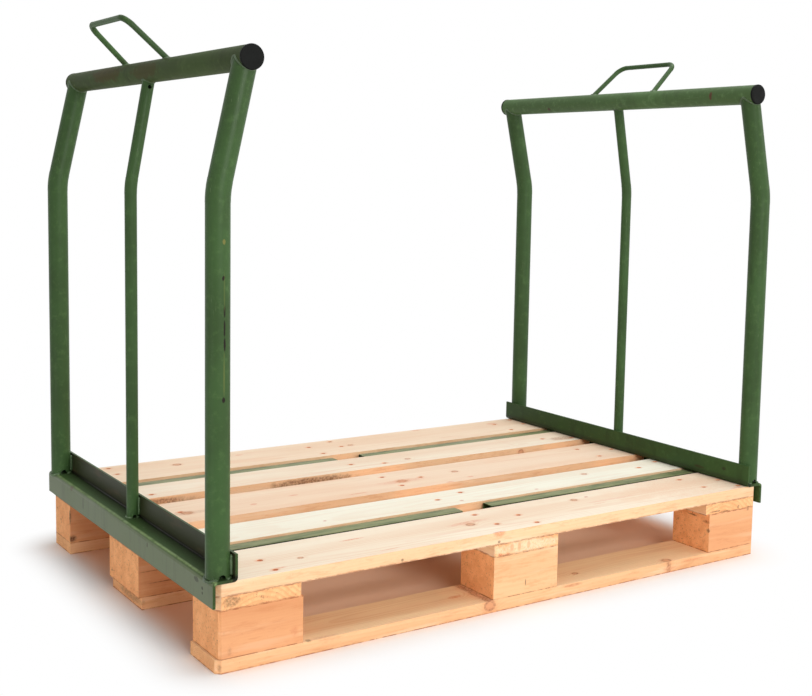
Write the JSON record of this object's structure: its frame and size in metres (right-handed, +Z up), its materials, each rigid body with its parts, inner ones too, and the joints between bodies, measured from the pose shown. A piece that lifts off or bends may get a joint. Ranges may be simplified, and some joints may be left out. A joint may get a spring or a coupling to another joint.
{
  "type": "pallet stacking frame",
  "caption": "Bent steel tube end frames with grab handles hook over the ends of a flat wooden pallet, and their crossbars carry the next loaded pallet.",
  "frame": {"origin": "on the floor, below the middle of the pallet", "axes": "+X along the pallet towards the right end frame, +Y across it towards the far side, +Z up"},
  "size_m": [1.2482, 0.812, 1.0229],
  "materials": {
    "green_paint": "semi-gloss, worn on the prongs and rails",
    "black_plastic": "moulded, satin",
    "pallet_wood": "rough sawn pine",
    "block_wood": "sawn block with a speckled side",
    "nail_steel": "rusted"
  },
  "bodies": {
    "pallet": {"near_deck_board": "pallet_wood", "near_mid_deck_board": "pallet_wood", "middle_deck_board": "pallet_wood", "far_mid_deck_board": "pallet_wood", "far_deck_board": "pallet_wood", "left_stringer_board": "pallet_wood", "middle_stringer_board": "pallet_wood", "right_stringer_board": "pallet_wood", "near_left_block": "block_wood", "near_middle_block": "block_wood", "near_right_block": "block_wood", "middle_left_block": "block_wood", "centre_block": "block_wood", "middle_right_block": "block_wood", "far_left_block": "block_wood", "far_middle_block": "block_wood", "far_right_block": "block_wood", "near_bottom_board": "pallet_wood", "middle_bottom_board": "pallet_wood", "far_bottom_board": "pallet_wood", "deck_nails": "nail_steel", "bottom_nails": "nail_steel"},
    "left_frame": {"left_base_rail": "green_paint", "left_near_post": "green_paint", "left_far_post": "green_paint", "left_centre_post": "green_paint", "left_crossbar": "green_paint", "left_near_plug": "black_plastic", "left_far_plug": "black_plastic", "left_handle": "green_paint", "left_near_prong": "green_paint", "left_far_prong": "green_paint", "left_welds": "green_paint"},
    "right_frame": {"right_base_rail": "green_paint", "right_near_post": "green_paint", "right_far_post": "green_paint", "right_centre_post": "green_paint", "right_crossbar": "green_paint", "right_near_plug": "black_plastic", "right_far_plug": "black_plastic", "right_handle": "green_paint", "right_near_prong": "green_paint", "right_far_prong": "green_paint", "right_welds": "green_paint"}
  },
  "joints": [
    {"name": "left_frame_lift", "type": "slide", "parent": "pallet", "child": "left_frame", "axis": [0, 0, 1], "range_m": [0, 0.15]},
    {"name": "right_frame_lift", "type": "slide", "parent": "pallet", "child": "right_frame", "axis": [0, 0, 1], "range_m": [0, 0.15]}
  ]
}
